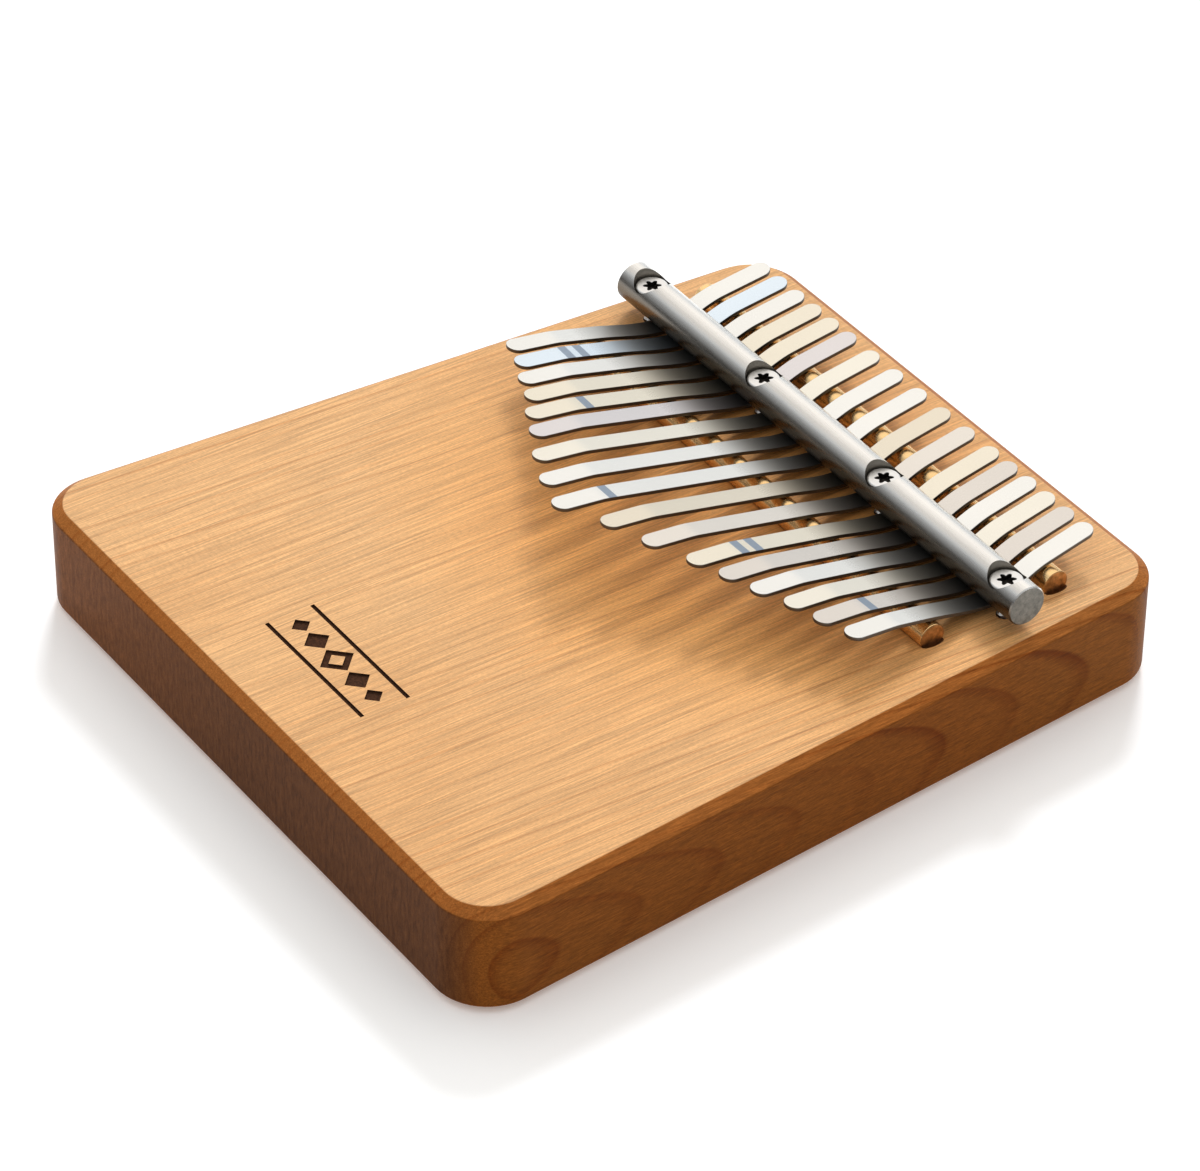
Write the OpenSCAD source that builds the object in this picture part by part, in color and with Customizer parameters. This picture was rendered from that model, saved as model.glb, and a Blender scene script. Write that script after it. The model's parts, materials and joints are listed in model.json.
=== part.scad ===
// Seventeen-tine board kalimba (mbira): a solid tapered wooden board, two round brass
// bridge rods lying in grooves, one round pressure bar held down by four screws, and
// seventeen flat spring tines that pass over the bridges and under the bar.
//
// X runs across the board, Y along the tines (the player's end is -Y), Z up.
// The origin is under the middle of the board.

/* [Board] */
// Length of the board along the tines
board_length = 180; // [160:1:220]
// Width at the player's end
board_width_near = 168; // [160:1:190]
// Width at the far end
board_width_far = 142; // [140:1:160]
// Thickness of the board
board_height = 25.5; // [22:0.5:32]
// Radius of the four upright corners
corner_radius = 12; // [6:0.5:16]
// Width of the bevel on the top and bottom faces
bevel_width = 2.4; // [0.8:0.1:3]
// Depth of the bevel on the sides
bevel_depth = 1.8; // [0.8:0.1:3]

/* [Bridges] */
// Diameter of each bridge rod
rod_diameter = 6; // [5:0.1:7]
// Length of each bridge rod
rod_length = 124; // [122:1:128]
// Height of a rod's centre above the board
rod_rise = 1.4; // [1:0.1:1.8]
// Place of the front bridge along the board
front_bridge_y = 35.5; // [34:0.5:37]
// Place of the rear bridge along the board
rear_bridge_y = 67; // [66:0.5:68]

/* [Pressure bar] */
// Diameter of the pressure bar
bar_diameter = 9; // [8:0.1:10]
// Length of the pressure bar
bar_length = 139; // [136:1:141]
// Place of the bar along the board
bar_y = 53.4; // [52:0.1:55]
// Gap between the board and the underside of the bar
bar_gap = 1.9; // [1.8:0.1:2.2]

/* [Screws] */
// Distance of the two inner screws from the middle
inner_screw_x = 21.25; // [21:0.05:21.5]
// Distance of the two outer screws from the middle
outer_screw_x = 62.6; // [62.2:0.1:63]
// Diameter of a screw head
screw_head_diameter = 7.2; // [6:0.1:7.4]
// Height of a screw head
screw_head_height = 2.5; // [1.8:0.1:2.8]
// Diameter of a screw shank
screw_shank_diameter = 3.5; // [2.5:0.1:3.5]
// Length of a screw below its head
screw_length = 22; // [16:1:26]

/* [Tines] */
// Width of a tine
tine_width = 4.8; // [4:0.1:5]
// Thickness of the spring steel
tine_thickness = 0.95; // [0.8:0.05:1]
// Spacing of the long tines in the middle
wide_pitch = 8.5; // [8.4:0.05:8.6]
// Spacing of the short tines on both sides
narrow_pitch = 6.45; // [6.4:0.05:6.5]
// Vibrating length of the lowest tine
lowest_length = 54.3; // [50:0.1:58]
// Part of the vibrating length that lies behind the front bridge
bridge_setback = 4; // [3:0.1:5]
// Length of the flatter playing tip
tip_length = 11.2; // [9:0.1:12]
// Rise of the free tine towards its tip, in degrees
rise_angle = 14; // [12:0.5:15]
// Rise of the playing tip itself, in degrees
tip_angle = 8; // [4:0.5:10]
// End of the straight tails along the board
tail_end_y = 80; // [78:0.5:82]
// Rise of the tails behind the rear bridge, in degrees
tail_angle = 9; // [6:0.5:10]
// Distance from the bar to the point where the lines of all the tines meet
fan_radius = 1110; // [1000:10:1400]

/* [Ornament] */
// Depth of the burnt-in ornament
ornament_depth = 0.5; // [0.3:0.1:1]
// Place of the ornament along the board
ornament_y = -67; // [-70:1:-60]

/* [Hidden] */
TINE_COUNT = 17;
CENTRE_TINE = 9;
// Tines on each side of the centre one that keep the wide spacing
WIDE_STEPS = 3;
// Semitones of the major scale above its first note
SCALE_STEPS = [0, 2, 4, 5, 7, 9, 11];

// Gap that lets a tine slide for tuning over the bridges and under the bar
bridge_gap = 0.3;
bar_clearance = 0.2;
// Share of the free length between the front bridge and the point where a tine seems to hinge
hinge_share = 0.15;
// Gap between the clamped part of a tine and its tongue
split_gap = 0.1;
// Length over which the playing tip bends
bend_length = 2.5;
// Points along each curved stretch of a tine
CURVE_STEPS = 7;
BEND_STEPS = 4;

hull_facets = 32;
round_facets = 64;
small_facets = 32;

groove_clearance = 0.05;
// Gap between the end of a rod and the rounded end of its groove
groove_end_room = 0.2;
// Depth of that rounded end as a share of the groove's radius
groove_end_share = 0.35;
rod_chamfer = 0.3;
bar_chamfer = 0.25;

counterbore_diameter = screw_head_diameter + 0.8;
bar_hole_diameter = screw_shank_diameter + 0.4;
pilot_diameter = screw_shank_diameter + 0.1;
pilot_extra_depth = 1;
screw_point_length = 4;
head_crown = 0.6;
recess_depth = 1.3;
recess_core_radius = 1.05;
recess_lobe_radius = 0.42;
recess_lobe_reach = 1.6;
RECESS_LOBES = 6;

bar_z = board_height + bar_gap + bar_diameter / 2;
rod_z = board_height + rod_rise;
pilot_depth = screw_length - bar_diameter / 2 - bar_gap + pilot_extra_depth;
screw_places = [-outer_screw_x, -inner_screw_x, inner_screw_x, outer_screw_x];

// Underside of a tine above the bridges and under the bar
front_contact_z = rod_z + (rod_diameter / 2 + bridge_gap) / cos(rise_angle);
rear_contact_z = rod_z + (rod_diameter / 2 + bridge_gap) / cos(tail_angle);
dip_z = board_height + bar_gap - bar_clearance - tine_thickness;

// Order of a tine from the longest (0) outwards, alternating left and right
function rank(k) = k < CENTRE_TINE ? 2 * (CENTRE_TINE - k) - 1 : 2 * (k - CENTRE_TINE);
function semitones(n) = SCALE_STEPS[n % 7] + 12 * floor(n / 7);
// A bar of constant section sounds a semitone higher when it is 2^(-1/24) as long
function free_length(k) = lowest_length * pow(2, -semitones(rank(k)) / 24) - bridge_setback;
function tine_x(k) =
    let (steps = k - CENTRE_TINE, wide = min(abs(steps), WIDE_STEPS))
    sign(steps) * (wide * wide_pitch + (abs(steps) - wide) * narrow_pitch);
function tine_fan(k) = atan(tine_x(k) / fan_radius);

// Smooth step between two heights with a level start and a given end slope
function sag(t, rise, end_slope, span) =
    rise * (3 * t * t - 2 * t * t * t) + end_slope * span * (t * t * t - t * t);

// Height of a tine's underside on the free side, s in front of the front bridge
function free_z(s, bend_at) =
    let (past = s - (bend_at - bend_length / 2),
         steep = tan(rise_angle),
         flat = tan(tip_angle),
         bent = min(max(past, 0), bend_length),
         after = max(past - bend_length, 0))
    front_contact_z + steep * min(s, bend_at - bend_length / 2)
        + steep * bent + (flat - steep) * bent * bent / (2 * bend_length)
        + flat * after;

// Height of a tine's underside at any place along the board
function underside(k, y) =
    let (front_span = bar_y - front_bridge_y,
         rear_span = rear_bridge_y - bar_y)
    y <= front_bridge_y ? free_z(front_bridge_y - y, free_length(k) - tip_length)
    : y <= bar_y ? dip_z + sag((bar_y - y) / front_span, front_contact_z - dip_z,
                               tan(rise_angle), front_span)
    : y <= rear_bridge_y ? dip_z + sag((y - bar_y) / rear_span, rear_contact_z - dip_z,
                                       tan(tail_angle), rear_span)
    : rear_contact_z + tan(tail_angle) * (y - rear_bridge_y);
function slope_at(k, y) = (underside(k, y + 0.05) - underside(k, y - 0.05)) / 0.1;
function topside(k, y) = underside(k, y) + tine_thickness * sqrt(1 + pow(slope_at(k, y), 2));

function tip_y(k) = front_bridge_y - free_length(k);
function bend_y(k) = tip_y(k) + tip_length;
function hinge_y(k) = front_bridge_y - hinge_share * free_length(k);
// Places along a stretch, both ends included
function places(from, to, steps) = [for (i = [0:steps]) from + (to - from) * i / steps];

clamped_places = function(k) concat(
    [hinge_y(k) + split_gap / 2],
    places(front_bridge_y, bar_y, CURVE_STEPS),
    places(bar_y + 2, rear_bridge_y, CURVE_STEPS),
    [tail_end_y]);
tongue_places = function(k) concat(
    [tip_y(k)],
    places(bend_y(k) - bend_length / 2, bend_y(k) + bend_length / 2, BEND_STEPS),
    [hinge_y(k) - split_gap / 2]);

function two_digits(k) = k < 10 ? str("0", k) : str(k);

module bevelled_post() {
    rotate_extrude($fn = hull_facets)
        polygon([
            [0, 0],
            [corner_radius - bevel_width, 0],
            [corner_radius, bevel_depth],
            [corner_radius, board_height - bevel_depth],
            [corner_radius - bevel_width, board_height],
            [0, board_height]]);
}

// Board with its upright corners rounded and its edges bevelled
module board_blank() {
    lean = atan((board_width_near - board_width_far) / 2 / board_length);
    reach = corner_radius;
    near_x = board_width_near / 2 - reach * (1 / cos(lean) + tan(lean));
    far_x = board_width_far / 2 - reach * (1 / cos(lean) - tan(lean));
    hull() {
        for (side = [-1, 1]) {
            translate([side * near_x, reach - board_length / 2, 0]) bevelled_post();
            translate([side * far_x, board_length / 2 - reach, 0]) bevelled_post();
        }
    }
}

// Round-ended groove that a bridge rod lies in
module rod_groove(y) {
    radius = rod_diameter / 2 + groove_clearance;
    half = rod_length / 2 + groove_end_room;
    translate([-half, y, rod_z]) rotate([0, 90, 0])
        cylinder(r = radius, h = 2 * half, $fn = round_facets);
    for (side = [-1, 1]) {
        translate([side * half, y, rod_z]) scale([groove_end_share, 1, 1])
            sphere(r = radius, $fn = round_facets);
    }
}

// Diamond of the ornament, burnt into the board as an outline or solid
module diamond_cut(x, half_width, half_height, core_share) {
    difference() {
        linear_extrude(ornament_depth + 1)
            polygon([
                [x - half_width, 0],
                [x, -half_height],
                [x + half_width, 0],
                [x, half_height]]);
        if (core_share > 0) {
            linear_extrude(ornament_depth + 1)
                polygon([
                    [x - half_width * core_share, 0],
                    [x, -half_height * core_share],
                    [x + half_width * core_share, 0],
                    [x, half_height * core_share]]);
        }
    }
}

// Band of diamonds between two straight lines
module ornament_cut() {
    band_half = 18;
    line_y = 5.4;
    line_width = 0.9;
    translate([0, ornament_y, board_height - ornament_depth]) {
        for (side = [-1, 1]) {
            translate([-band_half, side * line_y - line_width / 2, 0])
                cube([2 * band_half, line_width, ornament_depth + 1]);
            diamond_cut(side * 7.6, 3, 3, 0);
            diamond_cut(side * 13.6, 2.2, 2.2, 0);
        }
        diamond_cut(0, 4, 4, 0.5);
    }
}

module board() {
    color([0.80, 0.55, 0.32])
    difference() {
        board_blank();
        rod_groove(front_bridge_y);
        rod_groove(rear_bridge_y);
        for (x = screw_places) {
            translate([x, bar_y, board_height - pilot_depth])
                cylinder(d = pilot_diameter, h = pilot_depth + 1, $fn = small_facets);
        }
        ornament_cut();
    }
}

// Round bar along X with both ends chamfered
module chamfered_rod(length, diameter, chamfer) {
    rotate([0, 90, 0])
        rotate_extrude($fn = round_facets)
            polygon([
                [0, -length / 2],
                [diameter / 2 - chamfer, -length / 2],
                [diameter / 2, chamfer - length / 2],
                [diameter / 2, length / 2 - chamfer],
                [diameter / 2 - chamfer, length / 2],
                [0, length / 2]]);
}

module bridge_rod(y) {
    color([0.86, 0.66, 0.36])
    translate([0, y, rod_z])
        chamfered_rod(rod_length, rod_diameter, rod_chamfer);
}

module front_bridge_rod() {
    bridge_rod(front_bridge_y);
}

module rear_bridge_rod() {
    bridge_rod(rear_bridge_y);
}

module pressure_bar() {
    color([0.78, 0.79, 0.80])
    difference() {
        translate([0, bar_y, bar_z])
            chamfered_rod(bar_length, bar_diameter, bar_chamfer);
        for (x = screw_places) {
            translate([x, bar_y, bar_z])
                cylinder(d = counterbore_diameter, h = bar_diameter, $fn = round_facets);
            translate([x, bar_y, bar_z - bar_diameter])
                cylinder(d = bar_hole_diameter, h = 2 * bar_diameter, $fn = small_facets);
        }
    }
}

// Six-lobed driver recess
module driver_recess() {
    cylinder(r = recess_core_radius, h = recess_depth + 1, $fn = small_facets);
    for (i = [0:RECESS_LOBES - 1]) {
        rotate([0, 0, i * 360 / RECESS_LOBES]) translate([recess_lobe_reach, 0, 0])
            cylinder(r = recess_lobe_radius, h = recess_depth + 1, $fn = small_facets);
    }
}

// Pan-head wood screw, its head resting at height 0
module bar_screw() {
    head = screw_head_diameter / 2;
    shank = screw_shank_diameter / 2;
    difference() {
        rotate_extrude($fn = small_facets)
            polygon([
                [0, -screw_length],
                [shank, screw_point_length - screw_length],
                [shank, 0],
                [head, 0],
                [head, screw_head_height - head_crown],
                [head - head_crown, screw_head_height],
                [0, screw_head_height]]);
        translate([0, 0, screw_head_height - recess_depth]) driver_recess();
    }
}

module bar_screws() {
    color([0.70, 0.70, 0.71])
    for (x = screw_places) {
        translate([x, bar_y, bar_z]) bar_screw();
    }
}

// Side view of a tine along a list of places, as a closed outline
module tine_profile(k, along) {
    last = len(along) - 1;
    polygon(concat(
        [for (y = along) [y, underside(k, y)]],
        [for (i = [last:-1:0]) [along[i], topside(k, along[i])]]));
}

// Strip of the tine's width along a list of places, before its round ends are cut
module tine_strip(k, along) {
    translate([-tine_width / 2, 0, 0])
        rotate([90, 0, 90])
            linear_extrude(tine_width) tine_profile(k, along);
}

// Upright column that leaves a tine its round end, end_y being the outermost point
module round_end(end_y, inner_y) {
    radius = tine_width / 2;
    inward = sign(inner_y - end_y);
    middle = end_y + inward * radius;
    height = 3 * board_height;
    translate([0, middle, 0])
        cylinder(r = radius, h = height, $fn = round_facets);
    translate([-radius, min(middle, inner_y), 0])
        cube([tine_width, abs(inner_y - middle), height]);
}

// Puts a tine made along the middle line at its own place in the fan
module in_fan(k) {
    translate([tine_x(k), bar_y, 0]) rotate([0, 0, tine_fan(k)]) translate([0, -bar_y, 0])
        children();
}

// Clamped part of a tine: its tail, the dip under the bar and the start of its free length
module tine(k) {
    along = clamped_places(k);
    color([0.80, 0.79, 0.75])
    in_fan(k)
        intersection() {
            tine_strip(k, along);
            round_end(tail_end_y, along[0] - 1);
        }
}

// Free tongue of a tine, which the thumb plucks
module tongue(k) {
    along = tongue_places(k);
    color([0.86, 0.85, 0.81])
    in_fan(k)
        intersection() {
            tine_strip(k, along);
            round_end(tip_y(k), along[len(along) - 1] + 1);
        }
}

board();
front_bridge_rod();
rear_bridge_rod();
pressure_bar();
bar_screws();
for (k = [1:TINE_COUNT]) {
    tine(k);
    tongue(k);
}
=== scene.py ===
"""Looks of the board kalimba: board, bridges, pressure bar, screws and seventeen tines.

Every length is in millimetres times MM, so in metres. X runs across the board, Y along the
tines (the player's end is -Y) and Z up, as in the CAD model.
"""

import json
import math

import bmesh
import bpy
from mathutils import Matrix, Vector


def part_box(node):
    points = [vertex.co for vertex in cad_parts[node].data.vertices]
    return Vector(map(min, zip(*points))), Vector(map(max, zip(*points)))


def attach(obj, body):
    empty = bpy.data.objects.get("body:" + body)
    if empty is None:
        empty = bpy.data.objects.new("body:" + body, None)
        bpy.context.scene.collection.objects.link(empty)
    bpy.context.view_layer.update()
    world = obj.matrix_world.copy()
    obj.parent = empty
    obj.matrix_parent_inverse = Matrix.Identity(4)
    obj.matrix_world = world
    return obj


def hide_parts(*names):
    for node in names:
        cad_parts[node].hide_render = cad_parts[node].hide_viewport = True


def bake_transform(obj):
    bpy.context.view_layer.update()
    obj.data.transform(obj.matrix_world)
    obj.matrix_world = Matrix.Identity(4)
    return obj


MM = 0.001

# Board
CORNER_RADIUS = 12 * MM
WIDTH_NEAR = 168 * MM
WIDTH_FAR = 142 * MM
BEVEL_WIDTH = 2.4 * MM
BEVEL_DEPTH = 1.8 * MM
EDGE_ROUNDING = 0.7 * MM
GROOVE_CLEARANCE = 0.05 * MM
GROOVE_END_ROOM = 0.2 * MM
# Depth of a groove's rounded end as a share of its radius
GROOVE_END_SHARE = 0.35
# Width of the ring of flat wood that a bevel's outline starts and ends on
FLAT_RING = 2 * MM
# How far a cutter passes the surface that it cuts
CUT_MARGIN = 1 * MM

# Facets around round pieces and steps of rounded corners
BAR_FACETS = 128
SEAT_FACETS = 96
ROD_FACETS = 72
SCREW_FACETS = 72
GROOVE_FACETS = 64
HOLE_FACETS = 48
CORNER_STEPS = 14
GROOVE_END_STEPS = 10
EDGE_STEPS = 4
ROD_EDGE_STEPS = 5
ROD_EDGE = 0.3 * MM
BAR_EDGE = 0.25 * MM
# Radius of the point where a turned profile meets its axis
AXIS_POINT = 0.0001 * MM
# Angles between faces, in degrees, that stay sharp
SHARP_ANGLE = 32
TINE_SHARP_ANGLE = 40

# Screws
INNER_SCREW_X = 21.25 * MM
COUNTERBORE_RADIUS = 4.0 * MM
BAR_HOLE_RADIUS = 1.95 * MM
HEAD_RADIUS = 3.6 * MM
SHANK_RADIUS = 1.75 * MM
THREAD_ROOT = 1.3 * MM
THREAD_PITCH = 1.6 * MM
THREAD_STEPS = 10
# Half width of a thread's crest as a share of its pitch
CREST_SHARE = 0.22
POINT_LENGTH = 4 * MM
# Width of the point's tip as a share of the full thread
POINT_SHARE = 0.06
PLAIN_SHANK = 5.5 * MM
SHANK_FILLET = 0.1 * MM
HEAD_FOOT = 0.15 * MM
HEAD_CROWN = 0.55 * MM
CROWN_STEPS = 8
RECESS_MIDDLE = 1.58 * MM
RECESS_WAVE = 0.42 * MM
RECESS_LOBES = 6
RECESS_DEPTH = 1.3 * MM
RECESS_LIP = 0.10 * MM
RECESS_FLARE = 0.12 * MM
RECESS_DRAFT = 0.02 * MM
RECESS_FILLET = 0.15 * MM
RECESS_CENTRE = 0.3 * MM
# Painted shade inside the screw's recess: its reach from the axis, how far below the top it starts,
# and how far below the recess floor it ends
RECESS_SHADE_REACH = 2.15 * MM
RECESS_SHADE_TOP = 0.12 * MM
RECESS_SHADE_BELOW = 0.2 * MM
PILOT_RADIUS = 1.8 * MM
BRIDGES = ("front_bridge_rod", "rear_bridge_rod")

# Wood grain, in millimetres: the pith runs beside the board, leaning like its left edge
GRAIN_LEAN = 0.08
PITH_X = 114.0
PITH_Z = 9.5
RING_SPACING = 3.0
RING_WANDER = 2.2
# Largest shift of a ring along the board, in ring spacings
RING_SWING = 1.6
# Shares of a ring at which its late wood starts and is darkest
LATE_START, LATE_PEAK = 0.66, 0.93
# Noise features per millimetre along X, Y and Z
WANDER_NOISE = (0.02, 0.0030, 0.02)
PACE_NOISE = (0.06, 0.001, 0.015)
BOLD_NOISE = (0.03, 0.006, 0.03)
FIBRE_NOISE = (2.4, 0.022, 2.4)
FINE_NOISE = (5.0, 0.09, 5.0)
SPECK_NOISE = (6.0, 1.1, 6.0)
RAY_NOISE = (0.32, 2.0, 3.0)
CLOUD_NOISE = (0.02, 0.010, 0.02)
PATCH_NOISE = (0.014, 0.011, 0.014)
PORE_NOISE = (1.1, 1.0, 0.28)
CHAR_NOISE = (1.6, 1.6, 1.6)
CUT_NOISE = (1.2, 0.05, 1.2)
STAIN_NOISE = (0.05, 0.05, 0.05)
# Usual range of a noise
NOISE_LOW, NOISE_HIGH = 0.3, 0.7
# Darkest and lightest tone that each kind of grain gives the wood
FIBRE_TONES = (0.80, 1.15)
FINE_TONES = (0.78, 1.20)
SPECK_TONES = (0.86, 1.14)
RAY_TONES = (1.05, 0.92)
# Painted shade: a warmer, more saturated patch of the top about the tines, where their shade falls:
# its centre and reaches in millimetres, and its soft edge
SHADE_PATCH_CENTRE_Y = 25.0
SHADE_PATCH_REACH_X, SHADE_PATCH_REACH_Y = 62.0, 52.0
SHADE_PATCH_FULL, SHADE_PATCH_NONE = 0.65, 1.35
# Height of the surface normal below which a face is a side, and above which it is flat
SIDE_LOW, SIDE_HIGH = 0.30, 0.55
FLAT_LOW, FLAT_HIGH = 0.82, 0.97
END_LOW, END_HIGH = 0.65, 0.97
# Extra brightness of the end face at its left edge
END_PALER = 1.65
WOOD_PALE = (0.700, 0.420, 0.190, 1.0)
WOOD_WARM = (0.670, 0.380, 0.158, 1.0)
WOOD_LATE = (0.470, 0.205, 0.060, 1.0)
# Painted shade: bevels and sides are multiplied by the first colour, the sides also by the second
BEVEL_PAINTED_SHADE = (0.555, 0.370, 0.220, 1.0)
SIDE_PAINTED_SHADE = (0.64, 0.58, 0.39, 1.0)
# Colour that the painted shade about the tines multiplies the wood by
SHADE_PATCH_TONE = (1.04, 0.91, 0.66, 1.0)
END_DARK = (0.087, 0.031, 0.0100, 1.0)
END_LIGHT = (0.180, 0.071, 0.0240, 1.0)
# Painted shade inside the grooves and screw holes
GROOVE_SHADE_DARK = (0.13, 0.055, 0.022, 1.0)
GROOVE_SHADE_LIGHT = (0.32, 0.150, 0.060, 1.0)
BURNT_DARK = (0.030, 0.014, 0.008, 1.0)
BURNT_LIGHT = (0.110, 0.050, 0.026, 1.0)
# Painted reflection of the wood on the bar's lower side
BAR_WOOD_REFLECTION = (1.0, 0.80, 0.60, 1.0)
# Painted shade in bands around the bar, on the side that faces the player: angles in radians from its
# top towards the player, and the tone after each
BAR_SHADES = ((0.0, 0.4, 0.72), (0.6, 1.1, 0.4), (1.2, 1.9, 0.5))
# Angles in radians from the bar's top at which the painted wood reflection starts and is full
REFLECTION_START, REFLECTION_FULL = 0.9, 1.6

# Camera, fitted to the edges of the board
CAMERA_AZIMUTH = 55.22
CAMERA_ELEVATION = 37.75
CAMERA_DISTANCE = 1172.11 * MM
CAMERA_TARGET = (-18.17 * MM, 9.58 * MM, -0.3 * MM)
CAMERA_ROLL = 0.58
CAMERA_LENS = 166.25

# Light
SUN_COLOUR = (0.97, 1.0, 1.05)
SUN_STRENGTH = 1.6
SUN_AZIMUTH = 229
SUN_ELEVATION = 41
SUN_SOFTNESS = 13
FILL_COLOUR = (1.0, 0.92, 0.80)
FILL_STRENGTH = 0.45
FILL_ELEVATION = 72
FILL_SOFTNESS = 150
SKY_ELEVATION = 56
SKY_STRENGTH = 1.55
# Surround from its darkest side to its brightest: place, grey and warmth
SKY_STOPS = (
    (0.00, 0.05, 0.02),
    (0.28, 0.08, 0.00),
    (0.50, 0.24, -0.03),
    (0.64, 0.46, -0.04),
    (0.77, 0.62, 0.00),
    (0.86, 0.69, 0.05),
    (0.95, 0.70, 0.05),
)
# Faint light all around: height above the horizon and grey
DOME_STOPS = ((0.00, 0.05), (0.10, 0.10), (0.30, 0.30), (0.60, 0.42), (1.00, 0.55))
VIEW_GAMMA = 0.88
# Strength of the floor's own faint light
FLOOR_GLOW = 0.20
FLOOR_COLOUR = (0.845, 0.86, 0.87)
# Half width of the floor, in metres
FLOOR_REACH = 4.0

# Tines
TINE_COUNT = 17
TINE_WIDTH = 4.8 * MM
TINE_THICKNESS = 0.95 * MM
TINE_EDGE = 0.16 * MM
TINE_EDGE_STEPS = 3
END_STEPS = 10
BEND_STEPS = 6
STATION_SPACING = 1.0 * MM
STATION_GAP = 0.05 * MM
# Faces of a tine that lean more than this normal height allows are its sheared edges
EDGE_NORMAL = 0.6
# Painted shade and painted reflection of the bar on the steel about it: reaches in millimetres in
# front of it and behind it, and the darkest tone
SHADE_FRONT, SHADE_REAR = 5, 7
SHADE_TONE = 0.30
SHADE_BLUR = 0.2
SHADE_HAZE = 0.25

BRIDGE_GAP = 0.3 * MM
HINGE_SHARE = 0.15
# Length of a tine's tip in front of its bend, and the length of the bend
TIP_LENGTH = 11.2 * MM
BEND_LENGTH = 2.5 * MM
RISE = math.radians(14)
TIP_RISE = math.radians(8)
TAIL_RISE = math.radians(9)

# Ornament, a band of diamonds between two lines
ORNAMENT_Y = -67 * MM
ORNAMENT_DEPTH = 0.5 * MM
BAND_HALF = 18 * MM
LINE_Y = 5.4 * MM
LINE_WIDTH = 0.9 * MM
# Diamonds on each side of the middle one: distance from it and half width
DIAMONDS = ((7.6 * MM, 3 * MM), (13.6 * MM, 2.2 * MM))
MIDDLE_DIAMOND = 4 * MM
MIDDLE_OPENING = 2 * MM

# Tint of each tine's steel, from the first on the left to the last on the right
TINTS = {
    "white": (0.87, 0.88, 0.86),
    "ivory": (0.87, 0.85, 0.77),
    "blue": (0.77, 0.87, 0.96),
    "cream": (0.85, 0.81, 0.70),
    "rose": (0.75, 0.73, 0.74),
    "pearl": (0.80, 0.77, 0.72),
    "sand": (0.80, 0.75, 0.64),
    "grey": (0.75, 0.72, 0.68),
}
TINE_TINTS = (
    "white", "blue", "white", "cream", "cream", "rose", "ivory", "white", "white",
    "sand", "pearl", "cream", "grey", "white", "ivory", "grey", "white",
)
# Note marks across a tine: the distances of their near edges behind the tip's bend
NOTE_MARKS = {2: (0.4, 4.0), 5: (2.2,), 9: (1.0,), 12: (0.6, 4.2), 16: (1.2,)}
MARK_WIDTH = 2.0 * MM


def number(value):
    """Two-digit number of a tine, as in the CAD node names."""
    return f"{value:02d}"


# ---------------------------------------------------------------- mesh helpers


def new_object(name, mesh):
    piece = bpy.data.objects.new(name, mesh)
    bpy.context.scene.collection.objects.link(piece)
    return piece


def object_from_bmesh(name, bm):
    bmesh.ops.recalc_face_normals(bm, faces=bm.faces)
    for face in bm.faces:
        face.smooth = True
    mesh = bpy.data.meshes.new(name)
    bm.to_mesh(mesh)
    bm.free()
    return new_object(name, mesh)


def join_rings(bm, rings):
    """Makes the points of closed rings of equal length and joins neighbours with quads."""
    made = [[bm.verts.new(point) for point in ring] for ring in rings]
    count = len(made[0])
    for lower, upper in zip(made, made[1:]):
        for i in range(count):
            j = (i + 1) % count
            bm.faces.new((lower[i], lower[j], upper[j], upper[i]))
    return made


def loft(bm, rings):
    """Joins closed rings and closes each end with one face."""
    made = join_rings(bm, rings)
    bm.faces.new(list(reversed(made[0])))
    bm.faces.new(made[-1])


def rounded_polyline(points, radius, steps):
    """Points of an open polyline with its inner corners rounded by arcs."""
    rounded = [points[0]]
    for before, corner, after in zip(points, points[1:], points[2:]):
        corner = Vector(corner)
        to_before = (Vector(before) - corner).normalized()
        to_after = (Vector(after) - corner).normalized()
        half = to_before.angle(to_after) / 2
        reach = radius / math.tan(half)
        first = corner + to_before * reach
        last = corner + to_after * reach
        centre = corner + (to_before + to_after).normalized() * (radius / math.sin(half))
        for i in range(steps + 1):
            share = i / steps
            chord = first.lerp(last, share) - centre
            rounded.append(tuple(centre + chord.normalized() * radius))
    rounded.append(points[-1])
    return rounded


def apply_boolean(target, cutters):
    """Cuts every cutter out of target, with the cutters' materials, and deletes the cutters."""
    for cutter in cutters:
        modifier = target.modifiers.new("cut", "BOOLEAN")
        modifier.operation = "DIFFERENCE"
        modifier.solver = "EXACT"
        modifier.object = cutter
        modifier.material_mode = "TRANSFER"
    bpy.context.view_layer.update()
    evaluated = target.evaluated_get(bpy.context.evaluated_depsgraph_get())
    mesh = bpy.data.meshes.new_from_object(evaluated)
    target.modifiers.clear()
    target.data = mesh
    for cutter in cutters:
        bpy.data.objects.remove(cutter)


def cut_with(target, cutters, material):
    """Cuts the cutters out of target and gives the cut faces the material."""
    for cutter in cutters:
        cutter.data.materials.clear()
        cutter.data.materials.append(material)
    apply_boolean(target, cutters)


def finish_shading(piece, sharp_degrees=SHARP_ANGLE):
    """Smooth shading with sharp edges kept, and flat faces that stay flat."""
    mesh = piece.data
    for polygon in mesh.polygons:
        polygon.use_smooth = True
    mesh.set_sharp_from_angle(angle=math.radians(sharp_degrees))
    normals = piece.modifiers.new("flat faces", "WEIGHTED_NORMAL")
    normals.keep_sharp = True


def lathe(name, profile, axis, segments, centre):
    """Turned piece. The profile lists (radius, height) and starts and ends on the axis."""
    turn = {
        "Z": lambda r, a, h: (r * math.cos(a), r * math.sin(a), h),
        "X": lambda r, a, h: (h, r * math.cos(a), r * math.sin(a)),
    }[axis]
    bm = bmesh.new()
    rings = [
        [
            Vector(turn(radius, 2 * math.pi * i / segments, height)) + Vector(centre)
            for i in range(segments)
        ]
        for radius, height in profile
    ]
    loft(bm, rings)
    return object_from_bmesh(name, bm)


# ---------------------------------------------------------------- material helpers


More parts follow.
